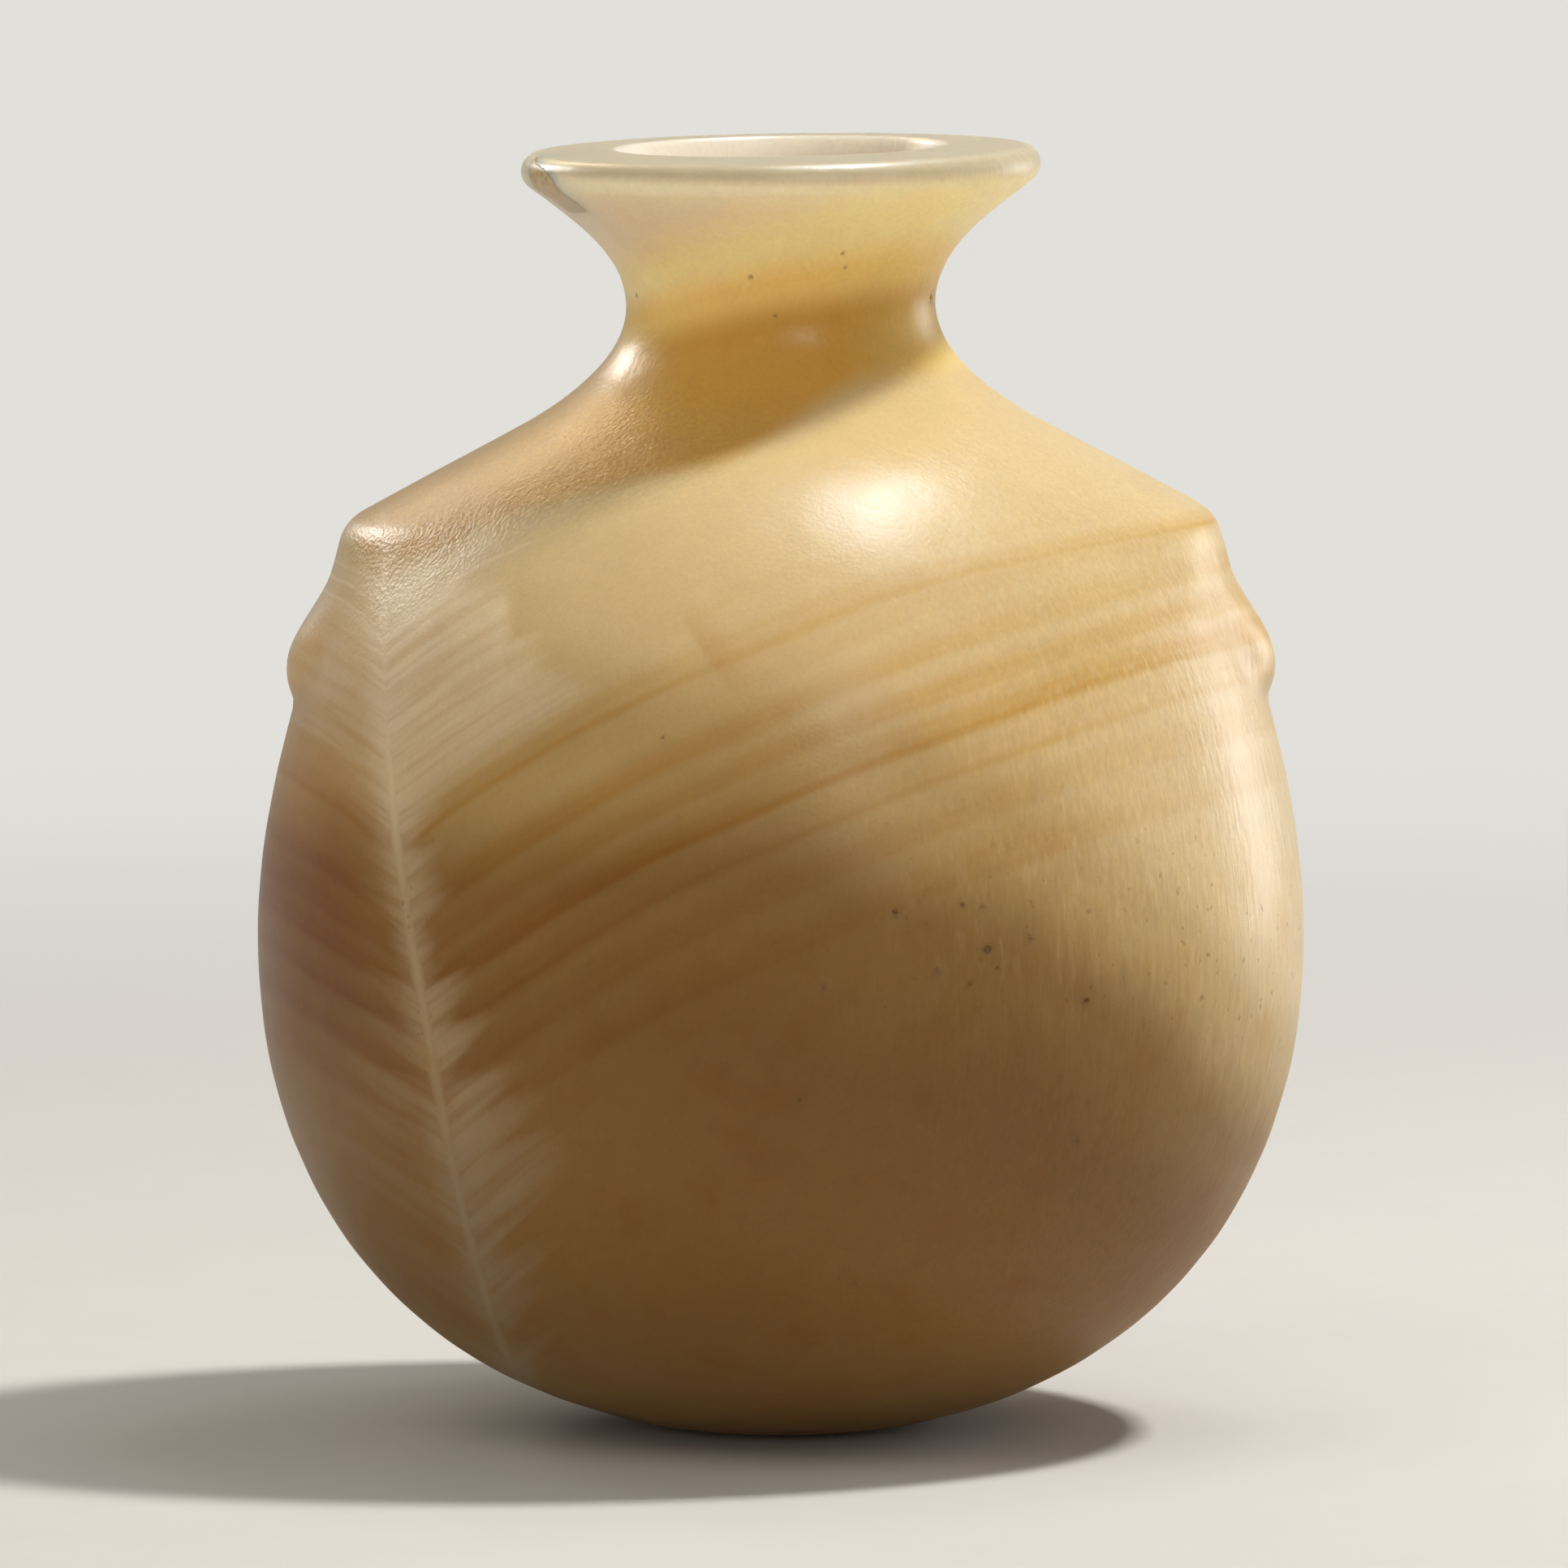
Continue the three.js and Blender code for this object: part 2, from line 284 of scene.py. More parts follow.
def hollow_outline(v, steps):
    """From the inner edge of the rim down the bore and round the hollow to its floor."""
    at = Levels(v)
    mouth, waist, neck_foot = (v.mouth_radius, at.rim), (at.bore, at.waist), (at.bore, at.neck_foot)
    funnel = rounded_corner(mouth, waist, neck_foot, v.bore_round, steps["funnel"])
    outside = np.concatenate([belly_outline(v, steps["belly"]), upper_outline(v, v.shoulder_round, steps)])
    before = np.concatenate([outside[:1], outside[:-1]])
    after = np.concatenate([outside[1:], outside[-1:]])
    along = (after - before) / np.linalg.norm(after - before, axis=1)[:, None]
    deep = np.clip(1 - outside[:, 1] / v.belly_height, 0, 1) ** 2
    thickness = v.wall + (v.floor_thickness - v.wall) * deep
    inside = outside + thickness[:, None] * np.stack([-along[:, 1], along[:, 0]], axis=1)
    below_neck = (inside[:, 0] > at.bore) | (inside[:, 1] < v.belly_height)
    kept = inside[below_neck & (inside[:, 1] < at.waist - v.bore_round)]
    return np.concatenate([funnel, kept[::-1]])


def lug_relief(v, radius, height, offset):
    """How far the lugs stand out of the turned form."""
    at = Levels(v)
    corner_line = upper_outline(v, v.lug_corner_round, CORNER_STEPS)
    order = np.argsort(corner_line[:, 1], kind="stable")
    corner_radius = np.interp(height, corner_line[order, 1], corner_line[order, 0], left=0, right=0)
    corner = np.maximum(corner_radius - radius, 0)
    across = np.abs(offset)
    side = 1 - smooth((across - v.lug_half_width) / v.lug_flank)
    knob_side = 1 - smooth((across - v.lug_half_width) / v.knob_flank)
    knob_height = at.shoulder - v.knob_drop + v.knob_end_round * (across / v.lug_half_width) ** 2
    above = height - knob_height
    upper = 1 - smooth(above / v.knob_upper_run)
    lower = np.cos(np.minimum(np.maximum(-above, 0) / v.knob_lower_run, 1) * math.pi / 2)
    return side * corner + knob_side * v.knob_relief * np.where(above > 0, upper, lower)


def leaned(x, height, v):
    """The height of a place once the upper part of the vase leans to the left."""
    lean = np.maximum((height - v.belly_height) / (Levels(v).rim - v.belly_height), 0)
    return height + x * lean * v.rim_lean / (2 * v.rim_radius)


def turned_mesh(name, v):
    """The whole vase as one closed mesh, and how many of its points are on the outside.

    Its map holds the outside below and the hollow over it.
    """
    outside = np.concatenate([
        belly_outline(v, OUTSIDE_STEPS["belly"]),
        upper_outline(v, v.shoulder_round, OUTSIDE_STEPS),
        mouth_outline(v, OUTSIDE_STEPS),
    ])
    outline = np.concatenate([outside, hollow_outline(v, HOLLOW_STEPS)])
    turn = np.linspace(0, 2 * math.pi, DIRECTIONS, endpoint=False)
    direction = math.pi / 2 + turn + FRONT_DENSITY * np.sin(turn)
    radius = np.repeat(outline[:, :1], DIRECTIONS, axis=1)
    height = np.repeat(outline[:, 1:], DIRECTIONS, axis=1)
    relief = lug_relief(v, radius, height, radius * np.sin(direction))
    relief[len(outside):] = 0
    radius = radius + relief
    x, y = radius * np.cos(direction), radius * np.sin(direction)

    rings = len(outline)
    places = np.stack([x, y, leaned(x, height, v)], axis=2).reshape(-1, 3)
    places = np.concatenate([places, [(0, 0, 0), (0, 0, outline[-1, 1])]])
    foot_centre, floor_centre = len(places) - 2, len(places) - 1
    faces, corners = [], []
    reach = np.concatenate([[0], np.cumsum(np.linalg.norm(np.diff(outline, axis=0), axis=1))])
    seam = len(outside) - 1
    foot = v.foot_radius
    level = np.where(
        np.arange(rings) <= seam,
        MAP_OUTSIDE_START + MAP_OUTSIDE_HEIGHT * (reach + foot) / (reach[seam] + foot),
        MAP_HOLLOW_START + MAP_HOLLOW_HEIGHT * (reach - reach[seam]) / (reach[-1] - reach[seam]),
    )
    around = MAP_MARGIN + (1 - 2 * MAP_MARGIN) * np.append(turn, 2 * math.pi) / (2 * math.pi)
    for step in range(DIRECTIONS):
        onward = (step + 1) % DIRECTIONS
        left, right = around[step], around[step + 1]
        middle = (left + right) / 2
        faces.append((foot_centre, onward, step))
        corners.append(((middle, MAP_FOOT_CENTRE), (right, level[0]), (left, level[0])))
        for ring in range(rings - 1):
            low, high = ring * DIRECTIONS, (ring + 1) * DIRECTIONS
            faces.append((low + step, low + onward, high + onward, high + step))
            bottom, top = MAP_SEAM if ring == seam else level[ring], level[ring + 1]
            corners.append(((left, bottom), (right, bottom), (right, top), (left, top)))
        last = (rings - 1) * DIRECTIONS
        faces.append((floor_centre, last + step, last + onward))
        corners.append(((middle, MAP_FLOOR_CENTRE), (left, level[-1]), (right, level[-1])))
    mesh = bpy.data.meshes.new(name)
    mesh.from_pydata(places.tolist(), [], faces)
    layer = mesh.uv_layers.new(name="OFBake")
    flat = [value for face in corners for pair in face for value in pair]
    layer.data.foreach_set("uv", np.array(flat, np.float32))
    mesh.polygons.foreach_set("use_smooth", [True] * len(mesh.polygons))
    mesh.update()
    return mesh, len(outside) * DIRECTIONS


# The marks of grinding: the size of the broad and the fine ones, and how far off the foot and the rim they stay
BROAD_MARKS, FINE_MARKS = Vector((18, 18, 13)) * MM, 5 * MM
CLEAR_OF_FOOT, CLEAR_OF_RIM = 2 * MM, 6 * MM


def wear(mesh, count, v):
    """Lets the outside wander inwards a little, as grinding by hand leaves it."""
    size, highest = BROAD_MARKS, Levels(v).rim - CLEAR_OF_RIM
    places, normals = np.zeros(len(mesh.vertices) * 3), np.zeros(len(mesh.vertices) * 3)
    mesh.vertices.foreach_get("co", places)
    mesh.vertices.foreach_get("normal", normals)
    places, normals = places.reshape(-1, 3), normals.reshape(-1, 3)
    depth = np.zeros(len(places))
    for index in range(count):
        place = Vector(places[index])
        if CLEAR_OF_FOOT < place.z < highest:
            broad = noise.noise((place.x / size.x, place.y / size.y, place.z / size.z))
            fine = noise.noise(place / FINE_MARKS)
            depth[index] = v.tool_marks * (0.5 + 0.5 * broad) * (0.8 + 0.4 * fine)
    mesh.vertices.foreach_set("co", (places - normals * depth[:, None]).ravel())
    mesh.update()


# Pores that open in the front of the stone: how far to the right, how high and how large, in millimetres
PORES = (
    (25.0, 65.9, 0.70), (37.1, 59.0, 0.55), (22.0, 71.5, 0.34), (13.9, 70.8, 0.42), (24.5, 71.1, 0.26),
    (19.0, 63.6, 0.34), (23.0, 61.9, 0.32), (26.3, 63.6, 0.28), (30.3, 67.0, 0.22), (36.1, 41.4, 0.42),
    (5.3, 61.8, 0.26), (2.3, 48.0, 0.40), (-14.3, 91.6, 0.28), (8.9, 24.2, 0.36), (-17.8, 141.7, 0.30),
    (7.6, 147.8, 0.22), (7.9, 145.9, 0.20), (-3.7, 144.9, 0.26), (-0.7, 140.0, 0.20), (18.6, 141.2, 0.75),
)
# Shares of a pore's size: its width, height and depth, how far it sits out of the stone, and how ragged it is
PORE_SHAPE, PORE_LIFT, PORE_RAGGEDNESS = (1, 0.75, 0.8), 0.4, 0.5
PORE_GRAIN = 0.4 * MM
IN_FRONT = -200 * MM
DIRT_AND_SHADE_SHARE = 0.6


def pore_blobs(name, mesh):
    """Small ragged lumps to take out of a mesh, and where each of them sits."""
    corners, faces = [point.co for point in mesh.vertices], [face.vertices for face in mesh.polygons]
    surface = BVHTree.FromPolygons(corners, faces)
    blobs, spots = bmesh.new(), []
    for side, height, size in PORES:
        start = Vector((side * MM, IN_FRONT, height * MM))
        place, normal, _, _ = surface.ray_cast(start, Vector((0, 1, 0)))
        reach = size * MM
        turned = normal.to_track_quat("Z", "Y").to_matrix().to_4x4()
        shape = Matrix.Diagonal((*(reach * part for part in PORE_SHAPE), 1))
        centre = place + normal * reach * PORE_LIFT
        made = bmesh.ops.create_icosphere(
            blobs, subdivisions=3, radius=1, matrix=Matrix.Translation(centre) @ turned @ shape
        )
        for point in made["verts"]:
            out = point.co - centre
            point.co = centre + out * (1 + PORE_RAGGEDNESS * noise.noise(point.co / PORE_GRAIN))
        spots.append((place, reach))
    made = bpy.data.meshes.new(name)
    blobs.to_mesh(made)
    blobs.free()
    return made, spots


def stain_and_shade(mesh, spots):
    """Marks where the pores are darkened, by dirt and by painted shade in their hollows."""
    pore_dirt_and_shade = mesh.attributes.new("pore_dirt_and_shade", "FLOAT", "POINT")
    places = np.zeros(len(mesh.vertices) * 3)
    mesh.vertices.foreach_get("co", places)
    places = places.reshape(-1, 3)
    amount = np.zeros(len(places))
    for place, reach in spots:
        near = 1 - smooth(np.linalg.norm(places - np.array(place), axis=1) / reach - DIRT_AND_SHADE_SHARE)
        amount = np.maximum(amount, near)
    pore_dirt_and_shade.data.foreach_set("value", amount.astype(np.float32))


# The flake seen from outside: shares of its width, from the front, and of its drop, from its top
FLAKE_SHARES = (
    (0, 0), (0.1, 0.16), (0.18, 0.24), (0.22, 0.41), (0.34, 0.56), (0.39, 0.78), (0.5, 1),
    (1, 1), (0.96, 0.72), (0.94, 0.5), (0.93, 0.36), (0.86, 0.24), (0.74, 0.15), (0.6, 0.1),
    (0.42, 0.07), (0.22, 0.04),
)
EDGE_POINTS = 5
BREAK_GRAIN = 0.9 * MM
BREAK_SEED = 7
PAST_THE_LIP = 4 * MM


def flake_block(name, v, flake, distance):
    """The block of space that holds the flake, grown on every side by a distance.

    Vector noise would start from the clock without a seed, and the break has to be the same in every run.
    """
    noise.seed_set(BREAK_SEED)
    rough = np.array([(flake.width * (across - 0.5), -flake.drop * down) for across, down in FLAKE_SHARES])
    outline = []
    for here, there in zip(rough, np.roll(rough, -1, axis=0)):
        for step in range(EDGE_POINTS):
            place = here + (there - here) * step / EDGE_POINTS
            push = noise.noise_vector(Vector((*place, 0)) / BREAK_GRAIN) * flake.raggedness
            outline.append(place + np.array(push[:2]) * (step > 0))
    outline = np.array(outline)
    before, after = outline - np.roll(outline, 1, axis=0), np.roll(outline, -1, axis=0) - outline
    way = sum(side / np.linalg.norm(side, axis=1)[:, None] for side in (before, after))
    normal = np.stack([way[:, 1], -way[:, 0]], axis=1)
    normal /= np.linalg.norm(normal, axis=1)[:, None]
    centre = outline.mean(axis=0)
    outward = np.sign(((outline - centre) * normal).sum())
    outline = outline + outward * distance * normal
    top = Levels(v).rim - flake.top
    turn = flake.direction
    out = np.array((math.cos(turn), math.sin(turn)))
    side = np.array((-math.sin(turn), math.cos(turn)))
    places = []
    for radius in (v.rim_radius - flake.depth - distance, v.rim_radius + PAST_THE_LIP):
        for across, down in outline:
            x, y = out * radius + side * across
            places.append((x, y, leaned(x, top + down, v)))
    count = len(outline)
    faces = [tuple(range(count)), tuple(reversed(range(count, 2 * count)))]
    for step in range(count):
        onward = (step + 1) % count
        faces.append((step, step + count, onward + count, onward))
    mesh = bpy.data.meshes.new(name)
    mesh.from_pydata(places, [], faces)
    block = bmesh.new()
    block.from_mesh(mesh)
    bmesh.ops.recalc_face_normals(block, faces=block.faces)
    block.to_mesh(mesh)
    block.free()
    return mesh


SHARP_EDGE = math.radians(38)


def cut(whole, block, operation, name):
    """A new mesh from the whole, with the block taken away or with only what lies in it."""
    piece = bpy.data.objects.new(name, whole)
    tool = bpy.data.objects.new(name + "_tool", block)
    for thing in (piece, tool):
        bpy.context.scene.collection.objects.link(thing)
    modifier = piece.modifiers.new("Cut", "BOOLEAN")
    modifier.operation, modifier.solver, modifier.object = operation, "MANIFOLD", tool
    bpy.context.view_layer.update()
    made = bpy.data.meshes.new_from_object(piece.evaluated_get(bpy.context.evaluated_depsgraph_get()))
    for thing in (piece, tool):
        bpy.data.objects.remove(thing)
    made.name = name
    made.set_sharp_from_angle(angle=SHARP_EDGE)
    return made


def add_piece(mesh, node, material):
    """Puts a mesh in the scene as the piece that stands for a node of the frame."""
    if not mesh.polygons:
        raise RuntimeError(f"{mesh.name} has no faces")
    piece = bpy.data.objects.new(mesh.name, mesh)
    bpy.context.scene.collection.objects.link(piece)
    mesh.materials.clear()
    mesh.materials.append(material)
    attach(piece, "root")
    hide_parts(node)


# The pattern of the stone, worked out by nodes from the place in the block, in millimetres


class Field:
    """A number, a colour or a place that nodes work out at each point of the stone."""

    def __init__(self, tree, socket):
        self.tree, self.socket = tree, socket

    def math(self, operation, *others, clamp=False):
        node = self.tree.nodes.new("ShaderNodeMath")
        node.operation, node.use_clamp = operation, clamp
        for socket, value in zip(node.inputs, (self, *others)):
            plug(self.tree, value, socket)
        return Field(self.tree, node.outputs[0])

    def __add__(self, other):
        return self.math("ADD", other)

    def __sub__(self, other):
        return self.math("SUBTRACT", other)

    def __mul__(self, other):
        return self.math("MULTIPLY", other)

    def __truediv__(self, other):
        return self.math("DIVIDE", other)

    def at_least(self, other):
        return self.math("MAXIMUM", other)

    def size(self):
        return self.math("ABSOLUTE")

    def rise(self, low, high):
        """From 0 at low to 1 at high, with a soft start and end."""
        node = self.tree.nodes.new("ShaderNodeMapRange")
        node.interpolation_type = "SMOOTHSTEP"
        plug(self.tree, self, node.inputs["Value"])
        plug(self.tree, low, node.inputs["From Min"])
        plug(self.tree, high, node.inputs["From Max"])
        return Field(self.tree, node.outputs[0])

    def fall(self, low, high):
        """From 1 at low to 0 at high, with a soft start and end."""
        return self.rise(low, high) * -1 + 1

    def near(self, middle, reach):
        """1 at a middle value, and 0 this far from it or further."""
        return (self - middle).size().fall(0, reach)


def plug(tree, value, socket):
    """Links a field to a socket, or sets a plain number or colour on it."""
    if isinstance(value, Field):
        tree.links.new(value.socket, socket)
    elif isinstance(value, (int, float)):
        socket.default_value = value
    else:
        socket.default_value = (*value, 1.0)[: len(socket.default_value)]


class Pattern:
    """The nodes of one material."""

    def __init__(self, tree):
        self.tree = tree
        coordinates = tree.nodes.new("ShaderNodeTexCoord").outputs["Object"]
        self.place = self.stretched(Field(tree, coordinates), (1 / MM, 1 / MM, 1 / MM))
        parts = tree.nodes.new("ShaderNodeSeparateXYZ")
        plug(tree, self.place, parts.inputs[0])
        self.x, self.y, self.z = (Field(tree, output) for output in parts.outputs)

    def stretched(self, place, by):
        node = self.tree.nodes.new("ShaderNodeVectorMath")
        node.operation = "MULTIPLY"
        plug(self.tree, place, node.inputs[0])
        plug(self.tree, by, node.inputs[1])
        return Field(self.tree, node.outputs[0])

    def joined(self, x, y, z):
        node = self.tree.nodes.new("ShaderNodeCombineXYZ")
        for socket, value in zip(node.inputs, (x, y, z)):
            plug(self.tree, value, socket)
        return Field(self.tree, node.outputs[0])

    def noise(self, place, size, detail=2.0, roughness=0.5):
        """Soft noise between 0 and 1, with patches of about this size in millimetres."""
        node = self.tree.nodes.new("ShaderNodeTexNoise")
        plug(self.tree, place, node.inputs["Vector"])
        node.inputs["Scale"].default_value = 1 / size
        node.inputs["Detail"].default_value = detail
        node.inputs["Roughness"].default_value = roughness
        return Field(self.tree, node.outputs[0])

    def wander(self, place, size, detail=2.0, roughness=0.5):
        """The same noise, between -0.5 and 0.5."""
        return self.noise(place, size, detail, roughness) - 0.5

    def mixed(self, amount, below, above, kind="MIX"):
        node = self.tree.nodes.new("ShaderNodeMix")
        node.data_type, node.blend_type = "RGBA", kind
        plug(self.tree, amount, node.inputs[0])
        plug(self.tree, below, node.inputs[6])
        plug(self.tree, above, node.inputs[7])
        return Field(self.tree, node.outputs[2])

    def graded(self, value, stops):
        """A colour that runs from stop to stop, each with its value and its colour."""
        made = stops[0][1]
        for (low, _), (high, tone) in zip(stops, stops[1:]):
            made = self.mixed(value.rise(low, high), made, tone)
        return made


# Where the vein and the layers lie in the block, in millimetres
VEIN_TOP, VEIN_X, VEIN_WANDER = 112, -49, 1.4
VEIN_BEND, VEIN_BEND_BACK = 0.00203, 0.0000051
LAYER_SLOPE, NEAR_SLOPE, NEAR_REACH, LAYER_WANDER = 0.30, 0.40, 38, 2.0
LEFT_SLOPE, DEPTH_SLOPE = 0.70, 0.117
NECK_FLATTENING, NECK_LEVELS = 0.4, (108, 128)
# The zones hold both the stone's own tone and painted shade
ZONE_SLOPE, ZONE_BEND, ZONE_LEFT = 0.30, 0.0001, 0.02
# The amber band is partly painted shadow of the lip: where it starts, and how far it is lifted on the right and
# the left
AMBER_LEVEL, AMBER_RIGHT_LIFT, AMBER_LEFT_LIFT = 104, 8, 5
# How much slower the noise changes along the sheets of the layers, and up the fibres, than the other way
SHEET_SLIP, TUFT_SLIP, HAIR_SLIP, FIBRE_SLIP, PALE_FIBRE_SLIP = 0.06, 0.03, 0.05, 0.16, 0.2
# Each thin line: its level, its reach, its strength, and the strength of the glow over it
LINES = (
    (71.5, 1.1, 0.36, 0.36), (51.9, 1.0, 0.42, 0.70), (46.8, 1.0, 0.36, 0.38), (62.0, 1.0, 0.14, 0.50),
    (56.5, 1.0, 0.18, 0.56), (40.5, 1.1, 0.22, 0.34), (34.0, 1.2, 0.18, 0.28),
)
GLOW_LIFT, GLOW_REACH = 1.2, 3.4
# The healed crack: how far to the left and how high it is, and the cosine and sine of the way it faces
CRACK_LEFT, CRACK_HEIGHT = 12.3, 105.8
CRACK_COSINE, CRACK_SINE = 0.81, 0.585
# The vein is widest at two heights, each with its reach up and down
HIGH_TUFTS, LOW_TUFTS = (97, 17), (36, 30)
VEIN_REACH, HIGH_REACH, LOW_REACH = 4.2, 10, 6
CORE_REACH = 1.6
# Each pale streak over the vein: its level and its reach
PALE_STREAKS = ((101.2, 0.7), (98.6, 0.5), (103.6, 0.5))
RIM_TOP, RUST_LEVELS = (156.4, 158.4), (153, 156.5)
MOUTH_RADII, MOUTH_LEVELS = (19.8, 21.2), (150, 154)
# How polished calcite takes light
SCATTER_WEIGHT, SCATTER_TINT = 0.85, (1.0, 0.84, 0.64)
SCATTER_REACH, FLAKE_SCATTER_REACH = 6 * MM, 2 * MM
CALCITE_IOR, CALCITE_SPECULAR = 1.5, 0.24


class Block(Pattern):
    """The nodes of the stone, with where each point lies from the vein, in the layers and in the zones."""

    def __init__(self, tree):
        super().__init__(tree)
        x, y, z = self.x, self.y, self.z

        # The vein is a sheet through the block, and the layers rise away from it on both sides
        wander = self.wander(self.place, 24)
        below = (z * -1 + VEIN_TOP).at_least(0)
        vein_x = below * below * (below * -VEIN_BEND_BACK + VEIN_BEND) + VEIN_X
        self.across = x - vein_x + wander * VEIN_WANDER
        self.right = self.across.at_least(0)
        self.left = (self.across * -1).at_least(0)
        most = NEAR_SLOPE * NEAR_REACH
        near = (self.right / -NEAR_REACH).math("EXPONENT") * -most + most
        lift = self.right * LAYER_SLOPE + near + self.left * LEFT_SLOPE
        flatter = z.rise(*NECK_LEVELS) * -NECK_FLATTENING + 1
        self.layer = z + y * DEPTH_SLOPE - lift * flatter + wander * LAYER_WANDER
        self.sheet_place = self.along_sheets(SHEET_SLIP)
        self.bands = self.wander(self.sheet_place, 4.2, 3, 0.6)

        # The zones of pale and brown stone fall to the right, with fibres across the border between them. They
        # are partly the stone's own tone and partly painted shade: paler high on the right where the key light
        # falls and darker low on the left. The fibres across the border paint light catching at the jagged edge
        # of that shade
        self.on_right = x.rise(0, 45)
        self.fibre_place = self.stretched(self.place, (1, 1, FIBRE_SLIP))
        self.fringe = self.wander(self.fibre_place, 1.5, 2, 0.6) * self.on_right
        rightward, leftward = x.at_least(0), x.math("MINIMUM", 0)
        steeper = rightward * rightward * rightward * ZONE_BEND
        zone = z + rightward * ZONE_SLOPE + steeper - leftward * ZONE_LEFT
        self.zone = zone + self.fringe * 6 + self.wander(self.place, 34, 3) * 12

        # The lower edge of the amber band follows the layers, and lies higher to the right and left of the
        # vein, so that it also follows the edge of the lip's shadow, which the band partly paints
        self.edge = self.layer + self.wander(self.place, 7) * 0.6
        self.amber = self.edge - x.rise(-10, 12) * AMBER_RIGHT_LIFT - self.left.rise(0, 5) * AMBER_LEFT_LIFT

        self.speckle = self.wander(self.place, 0.6, 3, 0.7)
        # Where grain shows on the shadowed left shoulder: it roughens the bump there, and in the colour it
        # paints glints
        grain_and_painted_glints = self.amber.rise(AMBER_LEVEL - 8, AMBER_LEVEL + 2)
        self.grain_and_painted_glints = grain_and_painted_glints * x.fall(-16, 2) * z.fall(126, 134)

    def along_sheets(self, slip):
        """A place for noise that lies in thin sheets along the layers."""
        return self.joined(self.layer, self.across * slip, self.y * slip)


def zoned_tone(b, c):
    """Pale stone high on the right and brown stone low on the left, partly the stone's tone and partly painted
    shade.
    """
    tone = b.graded(b.zone, (
        (54, c.umber), (72, c.brown), (90, c.honey), (104, c.straw), (128, c.cream),
    ))
    # Painted light: the foot is lifted from umber to brown for the glow of light through the stone, and the
    # lower left is drawn towards brown as part of the same painted shade
    brown = b.z.fall(0, 22) * 0.9 + b.x.fall(-40, 0) * b.z.fall(40, 80) * 0.5
    return b.mixed(brown, tone, c.brown)


def lined_tone(b, c, tone):
    """Soft bands and thin lines along the layers."""
    below_shoulder = b.layer.fall(70, 92) * b.layer.rise(8, 40)
    depth = (b.bands * 0.9 + 0.06).at_least(0) * below_shoulder
    tone = b.mixed(depth, tone, c.line, "MULTIPLY")
    shifted = b.layer + b.bands * 0.8 + b.fringe * 0.8
    stronger = b.x.rise(44, 58) * 0.5 + b.x.fall(-40, 0) * 0.4 + 1
    uneven = b.bands * 1.4 + 0.85
    for level, reach, strength, glow in LINES:
        line = shifted.near(level, reach) * strength
        strand = line + shifted.near(level + GLOW_LIFT, GLOW_REACH) * glow
        tone = b.mixed(strand * stronger * uneven, tone, c.line, "MULTIPLY")
    return tone


def upper_tone(b, c, tone):
    """The amber band at the foot of the neck, partly painted shadow of the lip, and the paler stone of the
    neck, the lip and the mouth, with painted light under the lip.
    """
    x, z = b.x, b.z
    upper = b.graded(b.edge + x * 0.06, (
        (AMBER_LEVEL + 2, c.glow), (AMBER_LEVEL + 12, c.amber), (AMBER_LEVEL + 17, c.amber),
        (AMBER_LEVEL + 22, c.gold), (AMBER_LEVEL + 27, c.neck), (AMBER_LEVEL + 34, c.rim),
    ))
    upper = b.mixed(z.rise(*RIM_TOP) * 0.9, upper, c.rim_top)
    radius = (x * x + b.y * b.y).math("SQRT")
    upper = b.mixed(radius.fall(*MOUTH_RADII) * z.rise(*MOUTH_LEVELS), upper, c.mouth)
    # Painted light: gold lightens the lip's painted shadow on the right of the neck
    upper = b.mixed(x.rise(6, 20) * z.fall(138, 143) * 0.85, upper, c.gold)
    return b.mixed(b.amber.rise(AMBER_LEVEL - 2, AMBER_LEVEL + 2.5), tone, upper)


def darker_places(b, c, tone):
    """Browner stone along an old healed crack, on its right side, warmer stone beside the vein, and painted
    shade along the left edge.
    """
    side, height = b.x + CRACK_LEFT, b.z - CRACK_HEIGHT
    over = side * CRACK_COSINE + height * CRACK_SINE
    along = side * CRACK_SINE - height * CRACK_COSINE
    crack = over.rise(-0.5, 0.4) * over.fall(0.4, 5) * along.rise(-2, 4) * along.fall(6, 13)
    tone = b.mixed(crack * b.y.fall(-20, 0) * 0.34, tone, c.beside, "MULTIPLY")
    # Painted shade: the left edge is darkened where the light turns away from it
    painted_shade_left_edge = b.x.fall(-56, -46) * b.z.near(72, 34)
    beside = b.right.fall(0, 26) * b.z.near(99, 18) * 0.5 + painted_shade_left_edge * 0.85
    return b.mixed(beside, tone, c.beside, "MULTIPLY")


